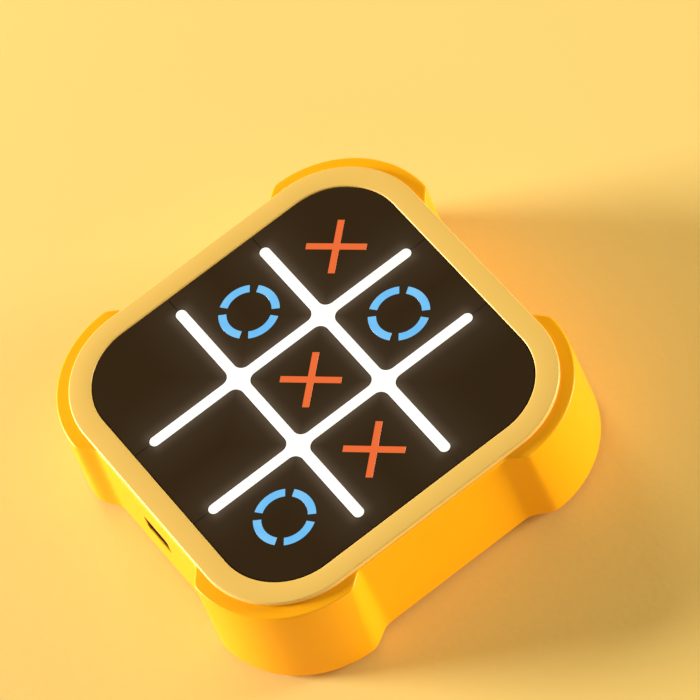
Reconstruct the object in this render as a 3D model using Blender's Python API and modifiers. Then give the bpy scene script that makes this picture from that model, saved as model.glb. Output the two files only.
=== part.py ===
"""A handheld electronic tic-tac-toe game: nine lit push keys under a raised bezel, in a lobed two-part case.

The frame: the origin is on the surface that the feet stand on, under the middle of the case, +Z is up
and out of the playing face, -Y is the side with the charging socket. All lengths below are in
millimetres, and the helpers turn them into metres.
"""

import math

import bmesh
import bpy
from mathutils import Matrix, Vector, geometry

MM = 0.001

# Driving dimensions of the playing face.
PITCH = 22.0  # from one grid bar to the next
SYMBOL_PITCH = 1.041 * PITCH  # from one symbol's middle to the next
BAR_WIDTH = 2.4
BAR_REACH = 33.8  # tip of a bar
BAR_FILLET = 2.1
FACE_HALF = 37.9  # the window in the bezel
FACE_RADIUS = 15.0
CORNER_CENTRE = FACE_HALF - FACE_RADIUS  # every rounded corner of the face and bezel turns about this point

# Driving dimensions of the case.
SIDE_HALF = 43.0  # flat side of the case, at the ledge under the bezel
LOBE_RADIUS = 23.0
LOBE_STEP_START = 18.7  # where the flat side turns out to the lobe
DRAFT = 0.018  # how much wider the case is at its foot
WALL = 2.0
BEZEL_HALF = 42.9

# Heights above the surface that the feet stand on.
CASE_LOW = 0.8
COVER_TOP = 2.8
BOARD_LOW = 13.2
BOARD_TOP = 14.8
BAFFLE_LOW = 14.9
BAFFLE_TOP = 21.3
LEDGE = 23.8
FACE_TOP = 24.85
BAR_LOW = 23.9
BAR_TOP = 24.9
BEZEL_TOP = 25.0
SOCKET_HEIGHT = 13.0
BUTTON_HEIGHT = 11.4
SPEAKER_LOW = 3.1
BATTERY_LOW = 3.1
BATTERY_TOP = 9.1

# Fits.
GAP = 0.3
KEY_GAP = 0.2  # round each key's visible plate
KEY_SEAM = 0.1  # from a key's edge to the middle line between it and the next key
KEY_LIP = 0.8  # how far a key's flange reaches under the bezel

# The keys, their guides, domes and chambers.
FLANGE_LOW = 22.4
FLANGE_TOP = 23.6
FLANGE_INNER = 0.4  # flange edge beyond the middle of a bar
SKIRT_HALF = 8.2
SKIRT_WALL = 1.0
SKIRT_LOW = 19.9
CHAMBER_HALF = 8.5
GUIDE_HALF = 6.9
GUIDE_PLATE_TOP = 20.9
RIDGE_TOP = 22.2
STEM_LOW = 18.5
RING_OUTER = 6.6
RING_INNER = 4.85
RING_GAP = 1.7
CROSS_REACH = 6.6
CROSS_WIDTH = 1.5
POST_RADIUS = 1.5

# The screws, feet and inner parts.
SCREW_PLACE = 35.0
BOSS_RADIUS = 2.8
FOOT_PLACE = 27.0
FOOT_RADIUS = 4.5
FOOT_TOP = 1.5
BOARD_HALF = 38.5
BOARD_RADIUS = 20.5
BATTERY_SIZE = (30.0, 44.0)
BATTERY_X = 16.0
SPEAKER_X = -19.0
SPEAKER_RADIUS = 14.0
SPEAKER_HEIGHT = 5.6
LEAD_RADIUS = 0.7
BOSS_HOLE = 1.3
SCREW_SHANK = 1.1
SCREW_HEAD = 2.5
SCREW_HEAD_LOW = 1.0
SCREW_HEAD_TOP = 2.1
SCREW_TIP = 11.5

# The charging socket and the button, in the case's -Y and +Y sides: lengths, heights and reach along Y.
SOCKET_SIZE = (8.94, 3.2)
SOCKET_WALL = 0.3
SOCKET_BACK = 35.9
SOCKET_FRONT = 41.4
TONGUE_SIZE = (6.6, 0.7)
BUTTON_SIZE = (8.0, 3.4)
BUTTON_FACE = 43.9
BUTTON_FLANGE = (10.4, 5.4)
BUTTON_FLANGE_FACE = 40.9

CORNERS = [(x, y) for x in (-1, 1) for y in (-1, 1)]


def rgb(red, green, blue):
    """The linear colour for a display colour of 0 to 255."""
    return [((c / 255 + 0.055) / 1.055) ** 2.4 if c > 10 else c / 3295 for c in (red, green, blue)] + [1.0]


def material(name, colour, roughness, metallic=0.0):
    made = bpy.data.materials.new(name)
    made.use_nodes = True
    shader = made.node_tree.nodes["Principled BSDF"]
    shader.inputs["Base Color"].default_value = colour
    shader.inputs["Roughness"].default_value = roughness
    shader.inputs["Metallic"].default_value = metallic
    made.diffuse_color = colour
    return made


# ---- outlines, as lists of (x, y) ----


def turned_quarter(x, y, quarter):
    """(x, y) turned about the origin by a number of quarter turns."""
    for _ in range(quarter % 4):
        x, y = -y, x
    return x, y


def arc(centre_x, centre_y, radius, start, end, steps):
    """Points on an arc between two angles in degrees, both ends included."""
    angles = [math.radians(start + (end - start) * step / steps) for step in range(steps + 1)]
    return [(centre_x + radius * math.cos(a), centre_y + radius * math.sin(a)) for a in angles]


def rounded_square(half, radius, steps=12):
    corner = arc(half - radius, half - radius, radius, 0, 90, steps)
    return [turned_quarter(x, y, quarter) for quarter in range(4) for x, y in corner]


def rounded_box(length, width, radius, steps=4):
    points = []
    for quarter, (sx, sy) in enumerate([(1, 1), (-1, 1), (-1, -1), (1, -1)]):
        cx, cy = sx * (length / 2 - radius), sy * (width / 2 - radius)
        points += arc(cx, cy, radius, 90 * quarter, 90 * quarter + 90, steps)
    return points


def lobed_square(inset=0.0, steps=10):
    """The case's outline: flat sides, and at each corner a round lobe that stands out from them.

    Each lobe turns 2 degrees past a quarter circle at both ends, and 1 degree less for each millimetre
    of inset, which keeps the wall at the slanted steps as thick as elsewhere.
    """
    side = SIDE_HALF - inset
    step_start = LOBE_STEP_START + 0.36 * inset
    lobe = arc(CORNER_CENTRE, CORNER_CENTRE, LOBE_RADIUS - inset, inset - 2, 92 - inset, steps)
    corner = [(side, step_start), *lobe, (step_start, side)]
    return [turned_quarter(x, y, quarter) for quarter in range(4) for x, y in corner]


def grid_outlines(grow=0.0, steps=4):
    """The # of the grid, wider all round by grow: its outer loop, and the loop round the middle cell."""
    middle = PITCH / 2
    half = BAR_WIDTH / 2 + grow
    near, far = middle - half, middle + half
    fillet = BAR_FILLET - grow
    tip = BAR_REACH - BAR_WIDTH / 2
    side = [
        *arc(far + fillet, -far - fillet, fillet, 180, 90, steps),
        *arc(tip, -middle, half, -90, 90, 2 * steps),
        *arc(far + fillet, -near + fillet, fillet, 270, 180, steps),
        *arc(far + fillet, near - fillet, fillet, 180, 90, steps),
        *arc(tip, middle, half, -90, 90, 2 * steps),
    ]
    outer = [turned_quarter(x, y, quarter) for quarter in range(4) for x, y in side]
    return [outer, rounded_square(near, fillet, steps)]


# ---- solids ----


def add(name, mesh, location=(0, 0, 0)):
    solid = bpy.data.objects.new(name, mesh)
    solid.location = location
    PARTS.objects.link(solid)
    return solid


def draft_scale(height):
    """How much wider the case is at a height than at its ledge."""
    return 1 + DRAFT * (LEDGE - height) / (LEDGE - CASE_LOW)


def prism(name, outlines, low, high, drafted=False):
    """A flat outline, with any further outlines as holes in it, between two heights.

    A lone outline is extruded open and capped by meshed() with one face at each end, because a curve's
    own caps have slivers along outlines with many points in line.
    """
    curve = bpy.data.curves.new(name, "CURVE")
    curve.dimensions = "2D"
    curve.fill_mode = "BOTH" if len(outlines) > 1 else "NONE"
    curve.extrude = (high - low) / 2 * MM
    for outline in outlines:
        spline = curve.splines.new("POLY")
        spline.points.add(len(outline) - 1)
        spline.use_cyclic_u = True
        for point, (x, y) in zip(spline.points, outline, strict=True):
            point.co = (x * MM, y * MM, 0, 1)
    solid = meshed(name, curve, Vector((0, 0, (low + high) / 2 * MM)))
    if drafted:
        for vertex in solid.data.vertices:
            scale = draft_scale(high if vertex.co.z > 0 else low)
            vertex.co.x *= scale
            vertex.co.y *= scale
    return solid


def meshed(name, curve, location):
    """A curve object turned into a mesh object with its caps welded on."""
    drawn = bpy.data.objects.new(name + "_curve", curve)
    drawn.location = location
    PARTS.objects.link(drawn)
    bpy.context.view_layer.update()
    evaluated = drawn.evaluated_get(bpy.context.evaluated_depsgraph_get())
    mesh = bpy.data.meshes.new_from_object(evaluated)
    mesh.name = name
    welded = bmesh.new()
    welded.from_mesh(mesh)
    bmesh.ops.remove_doubles(welded, verts=welded.verts, dist=1e-6)
    bmesh.ops.holes_fill(welded, edges=welded.edges, sides=0)
    bmesh.ops.dissolve_limit(welded, angle_limit=math.radians(0.5), verts=welded.verts, edges=welded.edges)
    bmesh.ops.recalc_face_normals(welded, faces=welded.faces)
    welded.to_mesh(mesh)
    welded.free()
    solid = add(name, mesh)
    solid.matrix_world = drawn.matrix_world
    bpy.data.objects.remove(drawn, do_unlink=True)
    return solid


def laid(solid, side):
    """Turns an upright prism to lie along Y, pointing out of the case's -Y side (-1) or +Y side (1)."""
    solid.data.transform(Matrix.Rotation(-side * math.pi / 2, 4, "X") @ Matrix.Translation(solid.location))
    solid.location = (0, 0, 0)
    return solid


def cylinders(name, radius, low, high, places, sides=24):
    """Upright cylinders at each place, in one mesh."""
    drawn = bmesh.new()
    for x, y in places:
        matrix = Matrix.Translation(Vector((x, y, (low + high) / 2)) * MM)
        bmesh.ops.create_cone(
            drawn,
            cap_ends=True,
            segments=sides,
            radius1=radius * MM,
            radius2=radius * MM,
            depth=(high - low) * MM,
            matrix=matrix,
        )
    mesh = bpy.data.meshes.new(name)
    drawn.to_mesh(mesh)
    drawn.free()
    return add(name, mesh)


def blocks(name, size, low, high, places, turn=0.0):
    """Upright blocks at each place, in one mesh, each turned about its own middle."""
    drawn = bmesh.new()
    for x, y in places:
        matrix = (
            Matrix.Translation(Vector((x, y, (low + high) / 2)) * MM)
            @ Matrix.Rotation(turn, 4, "Z")
            @ Matrix.Diagonal((size[0] * MM, size[1] * MM, (high - low) * MM, 1))
        )
        bmesh.ops.create_cube(drawn, size=1.0, matrix=matrix)
    mesh = bpy.data.meshes.new(name)
    drawn.to_mesh(mesh)
    drawn.free()
    return add(name, mesh)


def turned(name, profile, steps=24, place=(0.0, 0.0)):
    """A profile of (radius, height), listed down its outer side, turned about the upright axis."""
    mesh = bpy.data.meshes.new(name)
    edges = [(i, i + 1) for i in range(len(profile) - 1)]
    if profile[0][0] > 0:
        edges.append((len(profile) - 1, 0))
    mesh.from_pydata([(r * MM, 0, z * MM) for r, z in profile], edges, [])
    solid = add(name, mesh, (place[0] * MM, place[1] * MM, 0))
    screw = solid.modifiers.new("Turn", "SCREW")
    screw.axis = "Z"
    screw.steps = steps
    screw.render_steps = steps
    screw.use_merge_vertices = True
    screw.merge_threshold = 1e-5
    return solid


def combine(solid, tool, operation):
    """Cuts, joins or trims a solid with a guide solid, which then goes to the cutters' collection."""
    modifier = solid.modifiers.new(f"{operation}_{tool.name}", "BOOLEAN")
    modifier.operation = operation
    modifier.solver = "EXACT"
    modifier.object = tool
    if tool.name in PARTS.objects:
        PARTS.objects.unlink(tool)
        CUTTERS.objects.link(tool)
        tool.hide_render = True
        tool.display_type = "WIRE"
    return solid


def cut(solid, *tools):
    for tool in tools:
        combine(solid, tool, "DIFFERENCE")


def join(solid, *tools):
    for tool in tools:
        combine(solid, tool, "UNION")


def rehome(solid, x, y, z):
    """Moves a solid's origin to a point without moving the solid."""
    bpy.context.view_layer.update()
    origin = Vector((x, y, z)) * MM
    solid.data.transform(Matrix.Translation(solid.location - origin))
    solid.location = origin


def finish(solid, surface, smooth=False):
    solid.data.materials.clear()
    solid.data.materials.append(surface)
    if smooth:
        solid.data.shade_smooth()
        solid.data.set_sharp_from_angle(angle=math.radians(40))
    return solid


# ---- the case ----


def body_shell():
    """The lobed shell: flat-topped round the window, open below, with four screw bosses."""
    shell = prism("body_shell", [lobed_square()], CASE_LOW, LEDGE, drafted=True)
    plate_low = LEDGE - WALL
    cut(
        shell,
        prism("shell_cavity", [lobed_square(WALL)], CASE_LOW - 1, plate_low, drafted=True),
        prism("shell_window", [rounded_square(FACE_HALF + 2.8, FACE_RADIUS + 2.8)], plate_low - 1, LEDGE + 1),
    )
    boss_places = [(x * SCREW_PLACE, y * SCREW_PLACE) for x, y in CORNERS]
    rib_places = [(x * (SCREW_PLACE + 2), y * (SCREW_PLACE + 2)) for x, y in CORNERS]
    join(
        shell,
        blocks("boss_ribs", (5.2, 1.6), COVER_TOP + 1, BAFFLE_TOP - GAP, rib_places[1:3], -math.pi / 4),
        blocks("boss_ribs_other", (5.2, 1.6), COVER_TOP + 1, BAFFLE_TOP - GAP, rib_places[::3], math.pi / 4),
        cylinders("bosses", BOSS_RADIUS, COVER_TOP + GAP, BAFFLE_TOP, boss_places, 16),
    )
    cut(
        shell,
        cylinders("boss_holes", BOSS_HOLE, COVER_TOP, SCREW_TIP + 2.5, boss_places, 12),
        pill("socket_cutout", SOCKET_SIZE, 0.25, 38.0, 48.0, SOCKET_HEIGHT, -1),
        pill("button_cutout", BUTTON_SIZE, 0.2, 38.0, 48.0, BUTTON_HEIGHT, 1),
    )
    finish(shell, AMBER)


def pill(name, size, grow, near, far, height, side):
    """A bar with round ends, wider all round by grow, that reaches from near to far along one side of Y."""
    length, thickness = size[0] + 2 * grow, size[1] + 2 * grow
    end_radius = thickness / 2 - 0.01  # just under a half circle, so that no two of its points meet
    outline = [(x, y - side * height) for x, y in rounded_box(length, thickness, end_radius)]
    return laid(prism(name, [outline], near, far), side)


def bezel_frame():
    """The raised ring round the face, with a collar that drops into the shell's window."""
    ring = [rounded_square(FACE_HALF + grow, FACE_RADIUS + grow) for grow in (BEZEL_HALF - FACE_HALF, 0)]
    collar = [rounded_square(FACE_HALF + grow, FACE_RADIUS + grow) for grow in (2.5, 1.1)]
    bezel = prism("bezel_frame", ring, BAR_LOW, BEZEL_TOP)
    join(bezel, prism("bezel_collar", collar, LEDGE - WALL + 0.1, BAR_LOW + 0.4))
    finish(bezel, PALE)


def base_cover():
    """The plate that closes the case, with the speaker's grille and recesses for the feet and screws."""
    cover = prism("base_cover", [lobed_square(WALL + GAP)], CASE_LOW, COVER_TOP, drafted=True)
    screws = [(x * SCREW_PLACE, y * SCREW_PLACE) for x, y in CORNERS]
    feet = [(x * FOOT_PLACE, y * FOOT_PLACE) for x, y in CORNERS]
    grille = [(SPEAKER_X, 0.0)]
    for ring in (1, 2):
        grille += arc(SPEAKER_X, 0, 3.6 * ring, 0, 360 - 60 / ring, 6 * ring - 1)
    cut(
        cover,
        cylinders("screw_heads_recess", SCREW_HEAD + 0.4, CASE_LOW - 1, SCREW_HEAD_TOP + 0.1, screws, 12),
        cylinders("screw_shanks_hole", SCREW_SHANK + 0.4, CASE_LOW - 1, COVER_TOP + 1, screws, 12),
        cylinders("feet_recess", FOOT_RADIUS + GAP, CASE_LOW - 1, FOOT_TOP + 0.2, feet, 16),
        cylinders("grille_holes", 0.9, CASE_LOW - 1, COVER_TOP + 1, grille, 8),
    )
    finish(cover, AMBER_COVER)


def feet():
    for number, (x, y) in enumerate(CORNERS, 1):
        profile = [(0, FOOT_TOP), (FOOT_RADIUS, FOOT_TOP), (FOOT_RADIUS, 0.4), (FOOT_RADIUS - 0.4, 0), (0, 0)]
        foot = turned(f"foot_{number}", profile, 16, (x * FOOT_PLACE, y * FOOT_PLACE))
        finish(foot, RUBBER, smooth=True)


def screws():
    """Cross-recessed screws, from under the cover up into the bosses."""
    tip, head_top, head_low = SCREW_TIP, SCREW_HEAD_TOP, SCREW_HEAD_LOW
    shank = [(0, tip), (SCREW_SHANK - 0.5, tip), (SCREW_SHANK, tip - 1), (SCREW_SHANK, head_top)]
    head = [(SCREW_HEAD, head_top), (SCREW_HEAD, head_low + 0.4), (SCREW_HEAD - 0.4, head_low), (0, head_low)]
    for number, (x, y) in enumerate(CORNERS, 1):
        place = (x * SCREW_PLACE, y * SCREW_PLACE)
        screw = turned(f"case_screw_{number}", shank + head, 12, place)
        for size in ((2.6, 0.6), (0.6, 2.6)):
            cut(screw, blocks(f"screw_{number}_recess", size, head_low - 1, head_low + 0.7, [place]))
        finish(screw, STEEL, smooth=True)


# ---- the playing face ----


def grid_light_guide():
    """The glowing #, one moulding with four posts that carry light up from the board."""
    guide = grid_prism("grid_light_guide", 0, BAR_LOW, BAR_TOP)
    posts = [(x * PITCH / 2, y * PITCH / 2) for x, y in CORNERS]
    join(guide, cylinders("grid_posts", POST_RADIUS, BOARD_TOP + 1.3, BAR_LOW + 0.5, posts, 12))
    finish(guide, WHITE)


def grid_prism(name, grow, low, high):
    """The whole # between two heights, its middle cell cut out."""
    outer, inner = grid_outlines(grow)
    grid = prism(name, [outer], low, high)
    cut(grid, prism(name + "_middle", [inner], low - 1, high + 1))
    return grid


def span(index, inner, outer):
    """The stretch of a row or column, -1, 0 or 1, between inner and outer edges: (low, high)."""
    if index == 0:
        return -inner, inner
    low, high = sorted((index * outer[0], index * outer[1]))
    return low, high


def cell_block(name, column, row, seam, reach, low, high):
    """A block over one cell, up to seam from the middle line of each bar beside it and to reach outside."""
    middle = PITCH / 2
    x_low, x_high = span(column, middle - seam, (middle + seam, reach))
    y_low, y_high = span(row, middle - seam, (middle + seam, reach))
    size = (x_high - x_low, y_high - y_low)
    return blocks(name, size, low, high, [((x_low + x_high) / 2, (y_low + y_high) / 2)])


def key_cap(name, column, row, tools):
    """One key: a plate that fits between the bars, a flange under them and a skirt in its chamber."""
    centre = (column * SYMBOL_PITCH, row * SYMBOL_PITCH)
    key = cell_block(name, column, row, KEY_SEAM, FACE_HALF + 2, FLANGE_TOP - 0.3, FACE_TOP)
    combine(key, tools["face"], "INTERSECT")
    cut(key, tools["grid"])
    flange = cell_block(name + "_flange", column, row, FLANGE_INNER, FACE_HALF + 4, FLANGE_LOW, FLANGE_TOP)
    combine(flange, tools["flange"], "INTERSECT")
    skirt = blocks(name + "_skirt", (2 * SKIRT_HALF, 2 * SKIRT_HALF), SKIRT_LOW, FLANGE_LOW + 0.5, [centre])
    inner = 2 * (SKIRT_HALF - SKIRT_WALL)
    join(key, flange, skirt)
    cut(key, blocks(name + "_hollow", (inner, inner), SKIRT_LOW - 1, FLANGE_LOW, [centre]), tools["posts"])
    rehome(key, *centre, FLANGE_LOW)
    finish(key, GLOSS_BLACK)


def symbol_ridges(name, centre):
    """Guides for the ridges that draw the symbols: an X and four arcs of an O, crossing the X's arms."""
    x, y = centre
    low, high = GUIDE_PLATE_TOP - 0.4, RIDGE_TOP
    gap = math.degrees(RING_GAP / 2 / RING_OUTER)
    ring = []
    for quarter in range(4):
        start, end = 90 * quarter - 45 + gap, 90 * quarter + 45 - gap
        outline = arc(x, y, RING_OUTER, start, end, 4) + arc(x, y, RING_INNER, end, start, 4)
        ring.append(prism(f"{name}_arc_{quarter + 1}", [outline], low, high))
    size = (2 * CROSS_REACH, CROSS_WIDTH)
    arms = [blocks(f"{name}_arm_{side}", size, low, high, [centre], side * math.pi / 4) for side in (1, 3)]
    return arms + ring


def symbol_guide(name, column, row):
    """A clear plate in the key's skirt, with ridges in the shape of the two symbols and a stem."""
    centre = (column * SYMBOL_PITCH, row * SYMBOL_PITCH)
    guide = blocks(name, (2 * GUIDE_HALF, 2 * GUIDE_HALF), SKIRT_LOW, GUIDE_PLATE_TOP, [centre])
    join(guide, cylinders(name + "_stem", 1.6, STEM_LOW, SKIRT_LOW + 0.4, [centre], 12))
    join(guide, *symbol_ridges(name, centre))
    rehome(guide, *centre, SKIRT_LOW)
    finish(guide, CLEAR)


def return_dome(name, column, row):
    """The silicone dome that pushes a key back up, open below over its contact."""
    top, low = STEM_LOW - GAP, BAFFLE_LOW
    outer = [(0, top), (2.0, top), (2.4, top - 0.5), (3.8, low + 0.7), (4.5, low + 0.6), (4.5, low)]
    inner = [(3.4, low), (1.9, top - 1.3), (0, top - 1.3)]
    dome = turned(name, outer + inner, 10, (column * SYMBOL_PITCH, row * SYMBOL_PITCH))
    finish(dome, SILICONE, smooth=True)


def light_baffle():
    """The white frame between board and keys: a chamber for each key and a hole for each grid post."""
    baffle = prism("light_baffle", [rounded_square(BOARD_HALF, BOARD_RADIUS, 8)], BAFFLE_LOW, BAFFLE_TOP)
    cells = [(c * SYMBOL_PITCH, r * SYMBOL_PITCH) for c in (-1, 0, 1) for r in (-1, 0, 1)]
    posts = [(x * PITCH / 2, y * PITCH / 2) for x, y in CORNERS]
    size = (2 * CHAMBER_HALF, 2 * CHAMBER_HALF)
    cut(
        baffle,
        blocks("chambers", size, BAFFLE_LOW - 1, BAFFLE_TOP + 1, cells),
        cylinders("post_holes", POST_RADIUS + 0.2, BAFFLE_LOW - 1, BAFFLE_TOP + 1, posts, 12),
    )
    finish(baffle, WHITE_BAFFLE)


def keys():
    posts = [(x * PITCH / 2, y * PITCH / 2) for x, y in CORNERS]
    edge = FACE_HALF - KEY_GAP
    flange_edge = FACE_HALF + KEY_LIP
    tools = {
        "face": prism("key_face_trim", [rounded_square(edge, FACE_RADIUS - KEY_GAP)], 20, 30),
        "flange": prism("key_flange_trim", [rounded_square(flange_edge, FACE_RADIUS + KEY_LIP)], 20, 30),
        "grid": grid_prism("key_grid_cutter", KEY_GAP, FLANGE_TOP + 0.02, 30),
        "posts": cylinders("key_post_cutter", POST_RADIUS + GAP, 15, FLANGE_TOP + 0.1, posts, 12),
    }
    for row in (1, 0, -1):
        for column in (-1, 0, 1):
            cell = f"r{2 - row}c{2 + column}"
            key_cap(f"key_cap_{cell}", column, row, tools)
            symbol_guide(f"symbol_guide_{cell}", column, row)
            return_dome(f"return_dome_{cell}", column, row)
            place = (column * SYMBOL_PITCH + 6.0, row * SYMBOL_PITCH + 6.0)
            led = blocks(f"cell_led_{cell}", (2.0, 2.0), BOARD_TOP + 0.1, BOARD_TOP + 0.9, [place])
            finish(led, LED_WHITE)


# ---- the board and what is on it ----


def main_board():
    """The circuit board, notched for the socket, with the four emitters that light the grid's posts."""
    board = prism("main_board", [rounded_square(BOARD_HALF, BOARD_RADIUS, 8)], BOARD_LOW, BOARD_TOP)
    posts = [(x * PITCH / 2, y * PITCH / 2) for x, y in CORNERS]
    notch = (SOCKET_SIZE[0] + 0.86, 10.0)
    cut(board, blocks("socket_notch", notch, BOARD_LOW - 1, BOARD_TOP + 1, [(0, -SOCKET_BACK)]))
    join(board, blocks("grid_emitters", (1.8, 1.8), BOARD_TOP - 0.3, BOARD_TOP + 1.0, posts))
    finish(board, BOARD_GREEN)


def charging_socket():
    """The socket in the -Y side: a pressed shell with its plastic tongue."""
    inside = SOCKET_BACK + 0.4
    mouth = SOCKET_FRONT + 2
    shell = pill("usb_shell", SOCKET_SIZE, 0, SOCKET_BACK, SOCKET_FRONT, SOCKET_HEIGHT, -1)
    cut(shell, pill("usb_shell_hollow", SOCKET_SIZE, -SOCKET_WALL, inside, mouth, SOCKET_HEIGHT, -1))
    finish(shell, STEEL_SOCKET)
    block = pill("usb_tongue", SOCKET_SIZE, -0.5, inside + 0.2, inside + 1.5, SOCKET_HEIGHT, -1)
    near, far = inside + 1.1, SOCKET_FRONT - 0.3
    width, thickness = TONGUE_SIZE
    low = SOCKET_HEIGHT - thickness / 2
    blade = blocks("usb_blade", (width, far - near), low, low + thickness, [(0, -(near + far) / 2)])
    join(block, blade)
    finish(block, BLACK_PLASTIC)


def mode_button():
    """The small push button in the +Y side, its flange inside the wall and its stem towards the switch."""
    face, flange_face = BUTTON_FACE, BUTTON_FLANGE_FACE
    button = pill("mode_button", BUTTON_SIZE, 0, flange_face - 0.2, face, BUTTON_HEIGHT, 1)
    flange = pill("mode_button_flange", BUTTON_FLANGE, 0, flange_face - 1, flange_face, BUTTON_HEIGHT, 1)
    stem = pill("mode_button_stem", (2.4, 2.0), 0, flange_face - 4.5, flange_face - 0.5, BUTTON_HEIGHT, 1)
    join(button, flange, stem)
    rehome(button, 0, face, BUTTON_HEIGHT)
    finish(button, AMBER_BUTTON)
    switch = blocks("mode_switch", (6.0, 3.2), BUTTON_HEIGHT - 1.6, BOARD_LOW - 0.2, [(0, 34.0)])
    plunger = blocks("mode_switch_plunger", (1.6, 0.6), BUTTON_HEIGHT - 0.6, BUTTON_HEIGHT + 0.6, [(0, 35.5)])
    join(switch, plunger)
    finish(switch, BLACK_PLASTIC)


def battery():
    outline = rounded_box(*BATTERY_SIZE, 2.0, 3)
    outline = [(x + BATTERY_X, y) for x, y in outline]
    finish(prism("battery_cell", [outline], BATTERY_LOW, BATTERY_TOP), FOIL)


def speaker():
    """A round speaker over the grille: a basket with the magnet on top, and the paper cone inside."""
    low, high, rim = SPEAKER_LOW, SPEAKER_LOW + SPEAKER_HEIGHT, SPEAKER_RADIUS
    outside = [(0, high), (6.5, high), (6.5, low + 3.4), (rim - 1, low + 2.1), (rim, low + 2.1), (rim, low)]
    inside = [(rim - 1.1, low), (rim - 1.4, low + 1.1), (6.0, low + 2.7), (0, low + 2.7)]
    finish(turned("speaker_frame", outside + inside, 24, (SPEAKER_X, 0)), STEEL_SPEAKER, smooth=True)
    upper = [(0, low + 2.3), (3.0, low + 2.3), (rim - 1.8, low + 0.8)]
    lower = [(rim - 1.8, low + 0.4), (3.0, low + 1.8), (0, low + 1.8)]
    finish(turned("speaker_cone", upper + lower, 24, (SPEAKER_X, 0)), CONE_PAPER, smooth=True)


def controller():
    chip = blocks("controller_chip", (9.0, 9.0), BOARD_LOW - 1.2, BOARD_LOW - 0.15, [(-6, 22)])
    finish(chip, BLACK_PLASTIC)


def lead(name, start, end, lift, surface):
    """A short soft lead from a part in the cover up to the board, bending through two upright ends."""
    start, end = Vector(start) * MM, Vector(end) * MM
    reach = Vector((0, 0, lift)) * MM
    path = geometry.interpolate_bezier(start, start + reach, end - reach, end, 9)
    curve = bpy.data.curves.new(name, "CURVE")
    curve.dimensions = "3D"
    curve.bevel_depth = LEAD_RADIUS * MM
    curve.bevel_resolution = 1
    curve.use_fill_caps = True
    spline = curve.splines.new("POLY")
    spline.points.add(len(path) - 1)
    for point, place in zip(spline.points, path, strict=True):
        point.co = (*place, 1)
    finish(meshed(name, curve, Vector((0, 0, 0))), surface, smooth=True)


def leads():
    board = BOARD_LOW - 0.4
    lead("battery_lead", (BATTERY_X, 20.0, BATTERY_TOP + 0.2), (BATTERY_X, 27.0, board), 2.0, RED_LEAD)
    magnet = SPEAKER_LOW + SPEAKER_HEIGHT + 0.2
    lead("speaker_lead", (SPEAKER_X, 4.0, magnet), (SPEAKER_X, 12.0, board), 2.2, BLACK_LEAD)


for leftover in list(bpy.data.objects):
    bpy.data.objects.remove(leftover, do_unlink=True)
PARTS = bpy.data.collections.new("tic_tac_toe_set")
CUTTERS = bpy.data.collections.new("cutters")
for collection in (PARTS, CUTTERS):
    bpy.context.scene.collection.children.link(collection)

AMBER = material("amber_shell", rgb(250, 178, 24), 0.42)
AMBER_COVER = material("amber_cover", rgb(244, 172, 24), 0.5)
AMBER_BUTTON = material("amber_button", rgb(252, 196, 70), 0.4)
PALE = material("pale_bezel", rgb(244, 208, 120), 0.4)
GLOSS_BLACK = material("gloss_black_key", rgb(38, 30, 24), 0.12)
WHITE = material("grid_white", rgb(252, 252, 246), 0.3)
WHITE_BAFFLE = material("baffle_white", rgb(236, 236, 230), 0.6)
CLEAR = material("symbol_clear", rgb(225, 230, 232), 0.15)
SILICONE = material("silicone_dome", rgb(214, 214, 208), 0.6)
LED_WHITE = material("led_body", rgb(250, 244, 214), 0.4)
BOARD_GREEN = material("board_green", rgb(24, 92, 52), 0.5)
BLACK_PLASTIC = material("black_plastic", rgb(28, 28, 28), 0.55)
STEEL = material("screw_steel", rgb(196, 196, 198), 0.35, 1.0)
STEEL_SOCKET = material("socket_steel", rgb(180, 178, 172), 0.4, 1.0)
STEEL_SPEAKER = material("speaker_steel", rgb(120, 120, 124), 0.45, 1.0)
CONE_PAPER = material("cone_paper", rgb(48, 46, 44), 0.8)
FOIL = material("battery_foil", rgb(188, 190, 194), 0.4, 0.7)
RUBBER = material("foot_rubber", rgb(52, 50, 46), 0.8)
RED_LEAD = material("red_lead", rgb(190, 32, 24), 0.5)
BLACK_LEAD = material("black_lead", rgb(30, 30, 32), 0.5)

body_shell()
bezel_frame()
base_cover()
feet()
screws()
grid_light_guide()
keys()
light_baffle()
main_board()
charging_socket()
mode_button()
battery()
speaker()
controller()
leads()
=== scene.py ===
"""The looks of a handheld electronic tic-tac-toe game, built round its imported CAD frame, in metres."""

import math

import bmesh
import bpy
import numpy as np
from mathutils import Matrix, Vector


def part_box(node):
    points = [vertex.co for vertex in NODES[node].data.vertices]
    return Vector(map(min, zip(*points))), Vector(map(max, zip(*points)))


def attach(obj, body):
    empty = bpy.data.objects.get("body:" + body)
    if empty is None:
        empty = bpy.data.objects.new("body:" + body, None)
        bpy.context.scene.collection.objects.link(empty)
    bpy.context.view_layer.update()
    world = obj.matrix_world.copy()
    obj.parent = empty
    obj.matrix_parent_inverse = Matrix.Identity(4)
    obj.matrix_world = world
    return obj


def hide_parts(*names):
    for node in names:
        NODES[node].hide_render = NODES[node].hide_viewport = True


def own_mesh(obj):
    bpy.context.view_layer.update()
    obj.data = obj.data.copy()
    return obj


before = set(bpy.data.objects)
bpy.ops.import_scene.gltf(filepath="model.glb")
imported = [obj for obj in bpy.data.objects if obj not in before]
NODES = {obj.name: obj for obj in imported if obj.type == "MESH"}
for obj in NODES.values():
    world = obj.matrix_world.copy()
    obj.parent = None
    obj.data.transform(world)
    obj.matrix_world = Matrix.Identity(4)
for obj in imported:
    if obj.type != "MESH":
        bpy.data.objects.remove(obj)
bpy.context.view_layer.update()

MM = 0.001

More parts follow.
